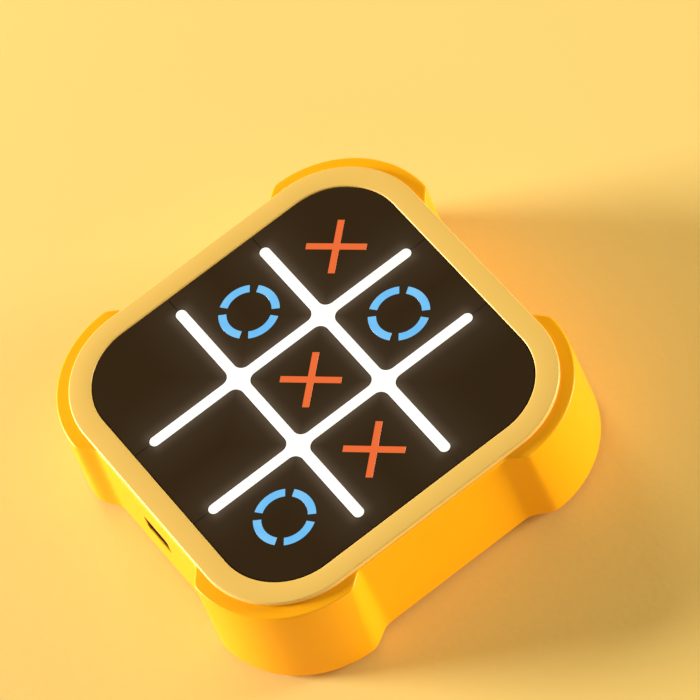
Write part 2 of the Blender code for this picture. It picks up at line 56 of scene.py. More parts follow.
# Driving sizes, in millimetres, read off the frame where it states them.
PITCH = 22.0
SYMBOL_PITCH = 1.041 * PITCH
BAR_HALF = 1.2
BAR_REACH = 33.8
BAR_FILLET = 2.1
CASE_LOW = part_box("body_shell")[0][2] / MM
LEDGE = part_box("body_shell")[1][2] / MM
BEZEL_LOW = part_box("grid_light_guide")[1][2] / MM - 1.0
BEZEL_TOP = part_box("bezel_frame")[1][2] / MM
FACE_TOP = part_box("key_cap_r2c2")[1][2] / MM
BAR_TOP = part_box("grid_light_guide")[1][2] / MM
COVER_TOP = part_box("base_cover")[1][2] / MM
SOCKET_HEIGHT = (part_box("usb_shell")[0][2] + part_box("usb_shell")[1][2]) / 2 / MM
SOCKET_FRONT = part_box("usb_shell")[0][1] / MM
SOCKET_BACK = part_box("usb_shell")[1][1] / MM
BUTTON_HEIGHT = (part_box("mode_button")[0][2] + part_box("mode_button")[1][2]) / 2 / MM
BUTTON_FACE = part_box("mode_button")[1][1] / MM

WINDOW_HALF = 37.9
CORNER_CENTRE = 22.9
BEZEL_HALF = 42.9
BEZEL_LIP = 1.1
BEZEL_RIB = 2.5
BEZEL_RIB_TOP = 21.9
SIDE_HALF = 43.0
LOBE_RADIUS = 23.0
STEP_START = (43.0, 18.7)
STEP_RUN = (2.9, 3.5)
DRAFT = 0.018
WALL = 2.0

# The marks on the keys.
MARK_REACH = 6.6
MARK_PROUD = 0.03
CROSS_HALF = 0.75
RING_INNER = 4.85
RING_MIDDLE = 5.7
RING_GAP_HALF = 0.85

# What sits in the case's sides. An opening is cut from inside the wall to outside it.
OPENING = (38.0, 48.0)
SLOT = (9.0, 4.8, 0.9)
# The black ring lining the slot's opening is painted shade that darkens the slot.
SHADE_LINER_WALL = 0.35
SHADE_LINER_ENDS = (41.5, 43.2)
SOCKET_SIZE = (8.94, 3.2)
SOCKET_HOLLOW = (8.34, 2.6)
BLOCK_SIZE = (8.1, 2.4)
BLADE_SIZE = (6.6, 0.7)
CONTACT_SIZE = (0.26, 0.04)
CONTACT_PITCH = 0.5
BUTTON_HOLE = (8.4, 3.8)
BUTTON_SIZE = (8.0, 3.4)
BUTTON_CAP_DEPTH = 3.0
FLANGE_SIZE = (10.4, 5.4)
STEM_SIZE = (2.4, 2.0)

# What sits under the keys and in the base.
DOME_CROWN = 2.2
DOME_FOOT = 4.5
GRILLE_PITCH = 3.6
GRILLE_HOLE = 0.9
SCREW_PLACE = 35.0
SCREW_HEAD = 2.5
SCREW_HEAD_TOP = 2.1
SCREW_TIP = 11.5
THREAD_PITCH = 0.6
THREAD_ROOT = 0.82
THREAD_CREST = 1.1
FOOT_PLACE = 27.0
FOOT_RADIUS = 4.5
FOOT_TOP = 1.5
CORNERS = [(x, y) for x in (-1, 1) for y in (-1, 1)]
ROWS = COLUMNS = (-1, 0, 1)

# The floor's half width, in metres.
FLOOR_HALF = 3.0

# The game as it stands: rows from the far side, columns from the left.
GAME = ("XO.", "OXX", "..O")


# ---- materials ----


def rgb(*display):
    """The linear colour for a display colour of 0 to 255."""
    linear = [((c / 255 + 0.055) / 1.055) ** 2.4 if c > 10 else c / 3295 for c in display]
    return (*linear, 1.0)


class Surface:
    """A Principled material with small helpers for its procedural detail."""

    def __init__(self, name, colour, roughness, metallic=0.0, **sockets):
        self.material = bpy.data.materials.new(name)
        self.material.use_nodes = True
        self.tree = self.material.node_tree
        self.shader = self.tree.nodes["Principled BSDF"]
        self.set("Base Color", colour)
        self.set("Roughness", roughness)
        self.set("Metallic", metallic)
        for socket, value in sockets.items():
            self.set(socket.replace("_", " "), value)
        self.colour = colour
        self.roughness = roughness
        self.place = self.node("ShaderNodeTexCoord").outputs["Object"]

    def set(self, socket, value):
        self.shader.inputs[socket].default_value = value

    def node(self, kind, **settings):
        made = self.tree.nodes.new(kind)
        for key, value in settings.items():
            setattr(made, key, value)
        return made

    def link(self, source, target):
        self.tree.links.new(source, target)

    def math(self, operation, first, second=0.0):
        made = self.node("ShaderNodeMath", operation=operation)
        for index, value in enumerate((first, second)):
            if isinstance(value, (int, float)):
                made.inputs[index].default_value = value
            else:
                self.link(value, made.inputs[index])
        return made.outputs[0]

    def noise(self, scale, detail=2.0, stretch=None):
        made = self.node("ShaderNodeTexNoise")
        made.inputs["Scale"].default_value = scale
        made.inputs["Detail"].default_value = detail
        source = self.place
        if stretch:
            mapping = self.node("ShaderNodeMapping")
            mapping.inputs["Scale"].default_value = stretch
            self.link(source, mapping.inputs["Vector"])
            source = mapping.outputs[0]
        self.link(source, made.inputs["Vector"])
        return made.outputs["Fac"]

    def ramp(self, source, low, high, from_low, from_high, smooth=False):
        """Maps a value's range onto low to high, clamped at both ends."""
        made = self.node("ShaderNodeMapRange")
        made.interpolation_type = "SMOOTHSTEP" if smooth else "LINEAR"
        made.inputs["From Min"].default_value = from_low
        made.inputs["From Max"].default_value = from_high
        made.inputs["To Min"].default_value = low
        made.inputs["To Max"].default_value = high
        self.link(source, made.inputs["Value"])
        return made.outputs[0]

    def blend(self, factor, first, second):
        made = self.node("ShaderNodeMix", data_type="RGBA")
        self.link(factor, made.inputs[0])
        for index, value in ((6, first), (7, second)):
            if isinstance(value, tuple):
                made.inputs[index].default_value = value
            else:
                self.link(value, made.inputs[index])
        return made.outputs[2]

    def mottle(self, scale, amount):
        """Slow drift of the colour's lightness, as moulded or painted surfaces have."""
        low = tuple(c * (1 - amount) for c in self.colour[:3]) + (1.0,)
        high = tuple(min(1.0, c * (1 + amount)) for c in self.colour[:3]) + (1.0,)
        self.link(self.blend(self.noise(scale, 3.0), low, high), self.shader.inputs["Base Color"])
        return self

    def polish(self, scale, spread):
        """Uneven gloss."""
        low, high = max(0.02, self.roughness - spread), self.roughness + spread
        self.link(self.ramp(self.noise(scale, 4.0), low, high, 0.3, 0.7), self.shader.inputs["Roughness"])
        return self

    def grain(self, scale, depth, stretch=None):
        """A fine raised texture, depth in metres."""
        bump = self.node("ShaderNodeBump")
        bump.inputs["Strength"].default_value = 1.0
        bump.inputs["Distance"].default_value = depth
        self.link(self.noise(scale, 2.0, stretch), bump.inputs["Height"])
        self.link(bump.outputs["Normal"], self.shader.inputs["Normal"])
        return self


def moulded(name, colour, roughness, **sockets):
    """Moulded plastic: a faint orange-peel grain, slow colour drift and uneven gloss."""
    made = Surface(name, colour, roughness, **sockets)
    return made.mottle(35, 0.04).polish(180, 0.05).grain(1600, 0.000012).material


def brushed(name, colour, roughness):
    made = Surface(name, colour, roughness, 1.0)
    return made.mottle(120, 0.08).polish(700, 0.08).grain(900, 0.00001, (1, 12, 1)).material


def bar_distance(surface):
    """Distance from the nearest grid bar's edge, in metres, from where a point lies on the face."""
    split = surface.node("ShaderNodeSeparateXYZ")
    surface.link(surface.place, split.inputs[0])
    across = [surface.math("ABSOLUTE", split.outputs[axis]) for axis in (0, 1)]
    gaps = []
    for side, along in (across, across[::-1]):
        beside = surface.math("ABSOLUTE", surface.math("SUBTRACT", side, PITCH / 2 * MM))
        beside = surface.math("MAXIMUM", surface.math("SUBTRACT", beside, BAR_HALF * MM), 0.0)
        past = surface.math("MAXIMUM", surface.math("SUBTRACT", along, (BAR_REACH - 1) * MM), 0.0)
        squares = [surface.math("MULTIPLY", gap, gap) for gap in (beside, past)]
        gaps.append(surface.math("SQRT", surface.math("ADD", *squares)))
    return surface.math("MINIMUM", *gaps)


def gloss_key():
    """Near-black gloss caps, smudged by fingers, with a painted glow from the bars on their edges."""
    made = Surface("key_gloss", rgb(33, 16, 9), 0.16, Coat_Weight=0.4, Coat_Roughness=0.08)
    made.mottle(60, 0.12)
    smudge = made.ramp(made.noise(90, 5.0), 0.12, 0.21, 0.42, 0.66, smooth=True)
    made.link(smudge, made.shader.inputs["Roughness"])
    made.grain(2500, 0.000004)
    # Painted glow: the caps give off a faint light that fades with distance from the nearest bar.
    gap = bar_distance(made)
    near = made.math("POWER", made.ramp(gap, 1.0, 0.0, 0.0, 0.003), 2.0)
    wide = made.math("POWER", made.ramp(gap, 1.0, 0.0, 0.0, 0.012), 2.0)
    painted_bar_glow = made.math("ADD", made.math("MULTIPLY", near, 0.06), made.math("MULTIPLY", wide, 0.02))
    made.set("Emission Color", rgb(255, 228, 196))
    made.link(painted_bar_glow, made.shader.inputs["Emission Strength"])
    return made.material


def lit(name, colour, edge_colour, strength, centre_fade=None):
    """A glowing surface that drifts to a second colour: away from its middle, or else in soft patches."""
    made = Surface(name, tuple(c * 0.12 for c in colour[:3]) + (1.0,), 0.22)
    made.mottle(80, 0.03).polish(300, 0.05)
    place = made.node("ShaderNodeVectorMath", operation="LENGTH")
    made.link(made.place, place.inputs[0])
    if centre_fade:
        fade = made.ramp(place.outputs["Value"], 0.0, 1.0, *centre_fade)
    else:
        fade = made.ramp(made.noise(140, 2.0), 0.0, 1.0, 0.35, 0.65)
    made.link(made.blend(fade, colour, edge_colour), made.shader.inputs["Emission Color"])
    made.set("Emission Strength", strength)
    return made.material


AMBER_COAT = {"Specular_IOR_Level": 0.36, "Coat_Weight": 0.15, "Coat_Roughness": 0.3}
AMBER = moulded("amber_plastic", rgb(250, 174, 1), 0.4, **AMBER_COAT)
COVER_AMBER = moulded("cover_plastic", rgb(244, 164, 8), 0.5)
BUTTON_AMBER = moulded("button_plastic", rgb(252, 188, 60), 0.38)
# The bezel's paler colour is partly its own plastic and partly a painted sheen.
PALE_AND_SHEEN = moulded("bezel_plastic_sheen", rgb(228, 191, 110), 0.36)
KEY_GLOSS = gloss_key()
BAR_LIGHT = lit("bar_light", rgb(255, 253, 246), rgb(255, 255, 252), 0.98)
# Painted shade: the bars' sides take this grey so the gaps between bars and keys read dark.
BAR_SIDE_SHADE = moulded("bar_side_shade", rgb(150, 144, 134), 0.5)
CROSS_LIGHT = lit("cross_light", rgb(235, 76, 14), rgb(230, 106, 54), 0.95, (0.0025, 0.0068))
RING_LIGHT = lit("ring_light", rgb(96, 182, 244), rgb(122, 196, 246), 0.93)
RUBBER = Surface("foot_rubber", rgb(46, 44, 40), 0.75).mottle(200, 0.15).grain(3500, 0.00003).material
STEEL = brushed("screw_steel", rgb(196, 194, 188), 0.32)
SOCKET_STEEL = brushed("socket_steel", rgb(150, 146, 136), 0.38)
SPEAKER_STEEL = brushed("speaker_steel", rgb(120, 120, 124), 0.4)
BLACK = moulded("black_plastic", rgb(30, 29, 28), 0.5)
GOLD = brushed("contact_gold", rgb(212, 172, 86), 0.3)
BAFFLE_WHITE = moulded("baffle_plastic", rgb(236, 236, 230), 0.55)
CLEAR = moulded("guide_plastic", rgb(222, 228, 230), 0.2, Transmission_Weight=0.6)
SILICONE = Surface("silicone", rgb(214, 214, 208), 0.6).mottle(150, 0.05).grain(3000, 0.00002).material
LED_BODY = moulded("led_plastic", rgb(250, 244, 214), 0.35)
BOARD = Surface("board_mask", rgb(22, 88, 50), 0.42).mottle(400, 0.2).polish(600, 0.1).material
CONE = Surface("cone_paper", rgb(48, 46, 44), 0.85).mottle(900, 0.2).grain(4000, 0.00005).material
FOIL = Surface("battery_foil", rgb(188, 190, 194), 0.35, 0.8).mottle(90, 0.08).grain(500, 0.00006).material
RED_SLEEVE = moulded("red_sleeve", rgb(190, 32, 24), 0.45)
BLACK_SLEEVE = moulded("black_sleeve", rgb(30, 30, 32), 0.45)


# ---- meshes ----


def piece(name, mesh, surface, body, slot, *replaced, at=(0.0, 0.0, 0.0)):
    """A finished mesh as a piece on a body, standing for the CAD nodes it replaces."""
    made = bpy.data.objects.new(name, mesh)
    bpy.context.scene.collection.objects.link(made)
    made.location = Vector(at) * MM
    mesh.materials.append(surface)
    mesh.shade_smooth()
    mesh.set_sharp_from_angle(angle=math.radians(40))
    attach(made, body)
    if replaced:
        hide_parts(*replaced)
    return made


def mesh_of(name, drawn):
    """The drawn faces as a mesh that faces outwards."""
    bmesh.ops.recalc_face_normals(drawn, faces=drawn.faces)
    mesh = bpy.data.meshes.new(name)
    drawn.to_mesh(mesh)
    drawn.free()
    return mesh


# An outline round the upright axis is its reach, in millimetres, along ROUND directions. The outlines are
# the same in all eight half-quarters, so FOLDED has each direction as its angle from the nearest axis.
ROUND = 720
THETA = np.arange(ROUND) * 2 * math.pi / ROUND
FOLDED = np.abs((THETA + math.pi / 4) % (math.pi / 2) - math.pi / 4)


def corner_reach(radius):
    """How far out a circle about each corner's centre reaches along every direction."""
    centre = CORNER_CENTRE
    lean = np.cos(FOLDED) + np.sin(FOLDED)
    return centre * lean + np.sqrt(np.maximum(centre**2 * (lean**2 - 2) + radius**2, 0))


def square_reach(half):
    """A rounded square's outline as its reach along every direction."""
    flat = half / np.cos(FOLDED)
    return np.where(half * np.tan(FOLDED) <= CORNER_CENTRE, flat, corner_reach(half - CORNER_CENTRE))


def lobed_reach(inset, softness):
    """The case's outline, its corners softened over a number of degrees."""
    run_x, run_y = STEP_RUN
    length = math.hypot(run_x, run_y)
    start_x = STEP_START[0] - inset * run_y / length
    start_y = STEP_START[1] + inset * run_x / length
    step = (start_x * run_y - start_y * run_x) / (run_y * np.cos(FOLDED) - run_x * np.sin(FOLDED))
    lobe = np.minimum(corner_reach(LOBE_RADIUS - inset), step)
    side = SIDE_HALF - inset
    reach = np.where(side * np.tan(FOLDED) <= start_y, side / np.cos(FOLDED), lobe)
    offsets = np.arange(-24, 25)
    weights = np.exp(-0.5 * (offsets * 360 / ROUND / softness) ** 2)
    weights /= weights.sum()
    return sum(weight * np.roll(reach, int(offset)) for weight, offset in zip(weights, offsets))


def loft(name, rings, capped=False):
    """A closed skin through (reach, height) rings: ring-shaped, or a solid with a cap at each end."""
    drawn = bmesh.new()
    rows = []
    for reach, height in rings:
        reach = np.broadcast_to(reach, THETA.shape)
        xs, ys = reach * np.cos(THETA), reach * np.sin(THETA)
        rows.append([drawn.verts.new((x * MM, y * MM, height * MM)) for x, y in zip(xs, ys)])
    for low, high in zip(rows, rows[1:] + ([] if capped else rows[:1])):
        for here in range(ROUND):
            after = (here + 1) % ROUND
            drawn.faces.new((low[here], low[after], high[after], high[here]))
    if capped:
        drawn.faces.new(rows[0])
        drawn.faces.new(rows[-1])
    return mesh_of(name, drawn)


def rounded(radius, steps, sweep=90):
    """Offsets (inward, along the height) round an edge of a radius, starting at its side."""
    angles = [math.radians(sweep * step / steps) for step in range(steps + 1)]
    return [(radius * (1 - math.cos(a)), radius * math.sin(a)) for a in angles]


def draft_scale(height):
    """The case widens from its ledge to its foot."""
    return 1 + DRAFT * (LEDGE - height) / (LEDGE - CASE_LOW)


def wall_softness(height):
    """In degrees: the lobes' edges are crisp at the ledge and soften towards the foot."""
    return 0.35 + 0.75 * (LEDGE - height) / (LEDGE - CASE_LOW)


def case_ring(inset, height):
    return draft_scale(height) * lobed_reach(inset, wall_softness(height)), height


def shell_rings():
    """The upper case's skin: up its outer wall, over the ledge, and down inside the window."""
    foot, lip = 1.3, 0.45
    rings = [case_ring(inset, CASE_LOW) for inset in (WALL, foot)]
    rings += [case_ring(i, CASE_LOW + foot - h) for i, h in reversed(rounded(foot, 6, 80))]
    low, high = CASE_LOW + foot, LEDGE - lip
    rings += [case_ring(0, low + share * (high - low)) for share in (0.2, 0.4, 0.6, 0.8)]
    rings += [case_ring(i, LEDGE - lip + h) for i, h in rounded(lip, 4)]
    window = WINDOW_HALF + 2.8
    rings += [(square_reach(window + out), LEDGE) for out in (1.2, 0.2)]
    rings += [(square_reach(window), height) for height in (LEDGE - 0.15, LEDGE - WALL)]
    rings.append((square_reach(window + 0.1), LEDGE - WALL))
    rings.append(case_ring(WALL, LEDGE - WALL - 0.01))
    return rings


def arc(centre_x, centre_y, radius, start, end, steps):
    """Points along an arc between two angles in degrees."""
    angles = [math.radians(start + (end - start) * step / steps) for step in range(steps + 1)]
    return [(centre_x + radius * math.cos(a), centre_y + radius * math.sin(a)) for a in angles]


def pill_outline(length, height):
    """A bar's outline with half-round ends."""
    radius, steps = height / 2, 32
    reach = length / 2 - radius
    return arc(reach, 0, radius, -90, 90, steps) + arc(-reach, 0, radius, 90, 270, steps)


def box_outline(length, width, radius=0.0):
    """A rectangle's outline, its corners rounded if a radius is given."""
    points, steps = [], 8
    for quarter, (x, y) in enumerate(((1, 1), (-1, 1), (-1, -1), (1, -1))):
        cx, cy = x * (length / 2 - radius), y * (width / 2 - radius)
        points += arc(cx, cy, radius, 90 * quarter, 90 * quarter + 90, steps) if radius else [(cx, cy)]
    return points


def plate(name, outline, low, high, edge=0.0, steps=3):
    """A flat outline between two heights, its upper edge rounded."""
    drawn = bmesh.new()
    base = drawn.faces.new([drawn.verts.new((x * MM, y * MM, low * MM)) for x, y in outline])
    made = bmesh.ops.extrude_face_region(drawn, geom=[base])
    top = [item for item in made["geom"] if isinstance(item, bmesh.types.BMVert)]
    bmesh.ops.translate(drawn, vec=(0, 0, (high - low) * MM), verts=top)
    bmesh.ops.remove_doubles(drawn, verts=drawn.verts, dist=1e-7)
    if edge:
        limit = (low + high) / 2 * MM
        rims = [e for e in drawn.edges if all(v.co.z > limit for v in e.verts)]
        bmesh.ops.bevel(drawn, geom=rims, offset=edge * MM, segments=steps, profile=0.5, affect="EDGES")
    return mesh_of(name, drawn)


def turned(name, profile, place, sides):
    """A (radius, height) profile turned about the upright axis at a place. Its ends lie on the axis."""
    drawn = bmesh.new()
    x, y = place
    rows = []
    for radius, height in profile:
        if radius == 0:
            rows.append([drawn.verts.new((x * MM, y * MM, height * MM))])
            continue
        ring = arc(x, y, radius, 0, 360 - 360 / sides, sides - 1)
        rows.append([drawn.verts.new((px * MM, py * MM, height * MM)) for px, py in ring])
    for low, high in zip(rows, rows[1:]):
        for here in range(sides):
            after = (here + 1) % sides
            lower = [low[here % len(low)], low[after % len(low)]]
            upper = [high[after % len(high)], high[here % len(high)]]
            drawn.faces.new(list(dict.fromkeys(lower + upper)))
    return mesh_of(name, drawn)


def lay(mesh, side, height):
    """Lays an upright mesh along Y, its top facing out of the -Y (-1) or +Y (1) side, at a height."""
    laid = Matrix.Rotation(-side * math.pi / 2, 4, "X")
    mesh.transform(Matrix.Translation((0, 0, height * MM)) @ laid)
    return mesh


def cut(target, mesh):
    """Cuts a closed mesh out of a piece, and leaves a plain mesh with no modifier and no cutter."""
    tool = bpy.data.objects.new(mesh.name, mesh)
    bpy.context.scene.collection.objects.link(tool)
    modifier = target.modifiers.new("cut", "BOOLEAN")
    modifier.operation = "DIFFERENCE"
    modifier.solver = "EXACT"
    modifier.object = tool
    bpy.context.view_layer.update()
    evaluated = target.evaluated_get(bpy.context.evaluated_depsgraph_get())
    result = bpy.data.meshes.new_from_object(evaluated)
    old = target.data
    target.modifiers.clear()
    target.data = result
    bpy.data.meshes.remove(old)
    bpy.data.objects.remove(tool, do_unlink=True)


# ---- the case ----


def build_case():
    skin = loft("shell_skin", shell_rings())
    shell = piece("shell_skin", skin, AMBER, "housing", "amber_shell", "body_shell")
    cut(shell, lay(plate("socket_slot", box_outline(*SLOT), *OPENING), -1, SOCKET_HEIGHT))
    cut(shell, lay(plate("button_hole", pill_outline(*BUTTON_HOLE), *OPENING), 1, BUTTON_HEIGHT))


def build_bezel():
    """The raised ring: rounded above, with a groove under it between its inner lip and its rib."""
    outer, inner, chamfer = 0.4, 0.35, 0.2
    lip, rib = WINDOW_HALF + BEZEL_LIP, WINDOW_HALF + BEZEL_RIB
    outline = [(BEZEL_HALF - i, BEZEL_TOP - outer + h) for i, h in rounded(outer, 4)]
    outline += [(WINDOW_HALF + i, BEZEL_TOP - inner + h) for i, h in reversed(rounded(inner, 4))]
    outline += [(WINDOW_HALF, BEZEL_LOW), (lip, BEZEL_LOW), (lip, BEZEL_RIB_TOP), (rib, BEZEL_RIB_TOP)]
    outline += [(rib, BEZEL_LOW), (BEZEL_HALF - chamfer, BEZEL_LOW), (BEZEL_HALF, BEZEL_LOW + chamfer)]
    rings = [(square_reach(half), height) for half, height in outline]
    piece("bezel_ring", loft("bezel_ring", rings), PALE_AND_SHEEN, "housing", "pale_bezel", "bezel_frame")


# ---- the playing face ----


def grid_mesh():
    """The # from four filleted crossings, the bars between them and eight round-ended arms."""
    drawn = bmesh.new()
    middle, half, fillet, edge = PITCH / 2, BAR_HALF, BAR_FILLET, 0.12
    near = half + fillet
    tip = BAR_REACH - half

    def face(points):
        drawn.faces.new([drawn.verts.new((x * MM, y * MM, BEZEL_LOW * MM)) for x, y in points])

    for cx, cy in CORNERS:
        cross = []
        for start, (sx, sy) in zip((270, 0, 90, 180), ((1, 1), (-1, 1), (-1, -1), (1, -1))):
            cross += arc(cx * middle + sx * near, cy * middle + sy * near, fillet, start, start - 90, 10)
        face(cross)
    for quarter in range(4):
        turn = Matrix.Rotation(quarter * math.pi / 2, 2)

        def turned_points(points, turn=turn):
            return [turn @ Vector(point) for point in points]

        link = middle - near
        near_side, far_side = middle - half, middle + half
        face(turned_points([(-link, near_side), (link, near_side), (link, far_side), (-link, far_side)]))
        for side in (-1, 1):
            arm = [(middle + near, side * middle - half), *arc(tip, side * middle, half, -90, 90, 16)]
            face(turned_points([*arm, (middle + near, side * middle + half)]))
    bmesh.ops.remove_doubles(drawn, verts=drawn.verts, dist=1e-6)
    made = bmesh.ops.extrude_face_region(drawn, geom=list(drawn.faces))
    top = [item for item in made["geom"] if isinstance(item, bmesh.types.BMVert)]
    bmesh.ops.translate(drawn, vec=(0, 0, (BAR_TOP - BEZEL_LOW) * MM), verts=top)
    limit = (BAR_TOP - 0.1) * MM
    rims = [e for e in drawn.edges if all(v.co.z > limit for v in e.verts) and not e.is_boundary]
    rims = [e for e in rims if any(abs(f.normal.z) < 0.5 for f in e.link_faces)]
    bmesh.ops.bevel(drawn, geom=rims, offset=edge * MM, segments=2, profile=0.5, affect="EDGES")
    return mesh_of("grid_bars", drawn)


def cross_outline():
    """The X's outline, arms along the diagonals."""
    arm = [(CROSS_HALF, CROSS_HALF), (MARK_REACH, CROSS_HALF), (MARK_REACH, -CROSS_HALF)]
    points = []
    for quarter in range(4):
        points += [Matrix.Rotation(-quarter * math.pi / 2, 2) @ Vector(p) for p in arm]
    return [Matrix.Rotation(math.pi / 4, 2) @ Vector(p) for p in points]


def symbol_piece(kind, cell, column, row):
    """A lit X, or the four arcs of a lit O, set in the top of its key and just proud of it."""
    place = (column * SYMBOL_PITCH, row * SYMBOL_PITCH, 0.0)
    low, high, edge = FACE_TOP - MARK_PROUD, FACE_TOP + MARK_PROUD, 0.02
    body = f"key_{cell}"
    if kind == "X":
        mesh = plate(f"lit_cross_{cell}", cross_outline(), low, high, edge, 1)
        piece(f"lit_cross_{cell}", mesh, CROSS_LIGHT, body, "symbol_clear", at=place)
        return
    gap = math.degrees(RING_GAP_HALF / RING_MIDDLE)
    for quarter in range(4):
        start, end = 90 * quarter - 45 + gap, 90 * quarter + 45 - gap
        outline = arc(0, 0, MARK_REACH, start, end, 24) + arc(0, 0, RING_INNER, end, start, 24)
        name = f"lit_ring_{cell}_{quarter + 1}"
        mesh = plate(name, outline, low, high, edge, 1)
        piece(name, mesh, RING_LIGHT, body, "symbol_clear", at=place)


def cell_of(column, row):
    """A cell's name: rows count from the far side, columns from the left."""
    return f"r{2 - row}c{2 + column}"


def build_face():
    """The lit grid, its sides in a grey that paints the shade in the gaps beside the bars, the marks of
    the game, and a fine bevel on the key caps.
    """
    bars = piece("grid_bars", grid_mesh(), BAR_LIGHT, "housing", "grid_white", "grid_light_guide")
    bars.data.materials.append(BAR_SIDE_SHADE)
    # Upward faces get the light, the sides the painted shade grey.
    for face in bars.data.polygons:
        face.material_index = 0 if face.normal.z > 0.3 else 1
    for row, marks in zip(ROWS[::-1], GAME):
        for column, mark in zip(COLUMNS, marks):
            cell = cell_of(column, row)
            if mark != ".":
                symbol_piece(mark, cell, column, row)
            cap = NODES[f"key_cap_{cell}"]
            bevel = cap.modifiers.new("edge", "BEVEL")
            bevel.width = 0.1 * MM
            bevel.segments = 2
            bevel.limit_method = "ANGLE"
            bevel.angle_limit = math.radians(50)


# ---- the socket, the button and the base ----


def side_piece(name, size, near, far, height, side, look, *replaced, edge=0.1, shift=0.0):
    """A bar with round ends that lies along Y in the case's -Y (-1) or +Y (1) side, its edges rounded.

    Its look is its surface, the body that it rides on and a material slot's name, which is not used.
    """
    mesh = lay(plate(name, pill_outline(*size), near, far, edge, 3), side, height)
    mesh.transform(Matrix.Translation((shift * MM, 0, 0)))
    return piece(name, mesh, *look, *replaced)


def build_socket():
    """The charging socket: a steel shell, its plastic block and tongue, and twelve gilt contacts."""
    back, front, height = -SOCKET_BACK, -SOCKET_FRONT, SOCKET_HEIGHT
    steel = (SOCKET_STEEL, "housing", "socket_steel")
    plastic = (BLACK, "housing", "black_plastic")
    gilt = (GOLD, "housing", "socket_steel")
    tube = side_piece("socket_shell", SOCKET_SIZE, back, front, height, -1, steel, "usb_shell")
    hollow = plate("socket_hollow", pill_outline(*SOCKET_HOLLOW), back + 0.4, front + 2)
    cut(tube, lay(hollow, -1, height))

    # A black ring lining the slot's opening: painted shade, so the slot reads dark.
    length, width, radius = SLOT
    near, far = SHADE_LINER_ENDS
    ring = plate("socket_shade_liner", box_outline(length - 0.04, width - 0.04, radius), near, far)
    shade_liner = piece("socket_shade_liner", lay(ring, -1, height), *plastic)
    hole = box_outline(length - 2 * SHADE_LINER_WALL, width - 2 * SHADE_LINER_WALL, radius - 0.3)
    cut(shade_liner, lay(plate("shade_liner_hole", hole, near - 0.5, far + 0.8), -1, height))

    side_piece("socket_block", BLOCK_SIZE, back + 0.45, back + 1.9, height, -1, plastic, "usb_tongue")
    side_piece("socket_blade", BLADE_SIZE, back + 1.8, front - 0.3, height, -1, plastic)
    reach, top = (back + 2.5, front - 0.7), height + BLADE_SIZE[1] / 2 + 0.01
    for number in range(12):
        name, shift = f"socket_contact_{number + 1}", (number - 5.5) * CONTACT_PITCH
        side_piece(name, CONTACT_SIZE, *reach, top, -1, gilt, edge=0, shift=shift)


def build_button():
    """The round-ended button cap with its flange and stem behind the wall."""
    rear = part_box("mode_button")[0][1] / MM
    look = (BUTTON_AMBER, "mode_button", "amber_button")
    flange_face = BUTTON_FACE - BUTTON_CAP_DEPTH
    cap = (flange_face - 0.2, BUTTON_FACE, BUTTON_HEIGHT, 1, look)
    side_piece("button_cap", BUTTON_SIZE, *cap, "mode_button", edge=0.55)
    side_piece("button_flange", FLANGE_SIZE, flange_face - 1, flange_face, BUTTON_HEIGHT, 1, look)
    side_piece("button_stem", STEM_SIZE, rear, flange_face - 0.9, BUTTON_HEIGHT, 1, look)


def build_domes():
    """The silicone domes under the keys, shaped as they stand before their keys are pressed."""
    for row in ROWS[::-1]:
        for column in COLUMNS:
            cell = cell_of(column, row)
            (low_x, low_y, low), (high_x, high_y, high) = [
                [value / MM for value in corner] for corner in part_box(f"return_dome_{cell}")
            ]
            place = ((low_x + high_x) / 2, (low_y + high_y) / 2)
            crown = [(DOME_CROWN - i, high - 0.35 + h) for i, h in reversed(rounded(0.35, 4))]
            skirt = [(2.4, high - 0.5), (3.7, low + 0.75), (4.1, low + 0.62)]
            rim = [(DOME_FOOT, low + 0.55), (DOME_FOOT, low)]
            hollow = [(3.4, low), (1.9, high - 1.3), (0, high - 1.3)]
            mesh = turned(f"dome_{cell}", [(0, high), *crown, *skirt, *rim, *hollow], place, 48)
            dome = piece(mesh.name, mesh, SILICONE, "housing", "silicone_dome", f"return_dome_{cell}")
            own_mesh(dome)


def cover_ring(inset, height):
    """The case's outline, equally soft at every height of the cover."""
    return draft_scale(height) * lobed_reach(inset, 0.9), height


def grille_places():
    """The middle of the speaker's grille and two rings of holes round it."""
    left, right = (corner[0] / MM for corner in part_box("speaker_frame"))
    middle = ((left + right) / 2, 0.0)
    places = [middle]
    for ring in (1, 2):
        places += arc(*middle, GRILLE_PITCH * ring, 0, 360 - 60 / ring, 6 * ring - 1)
    return places


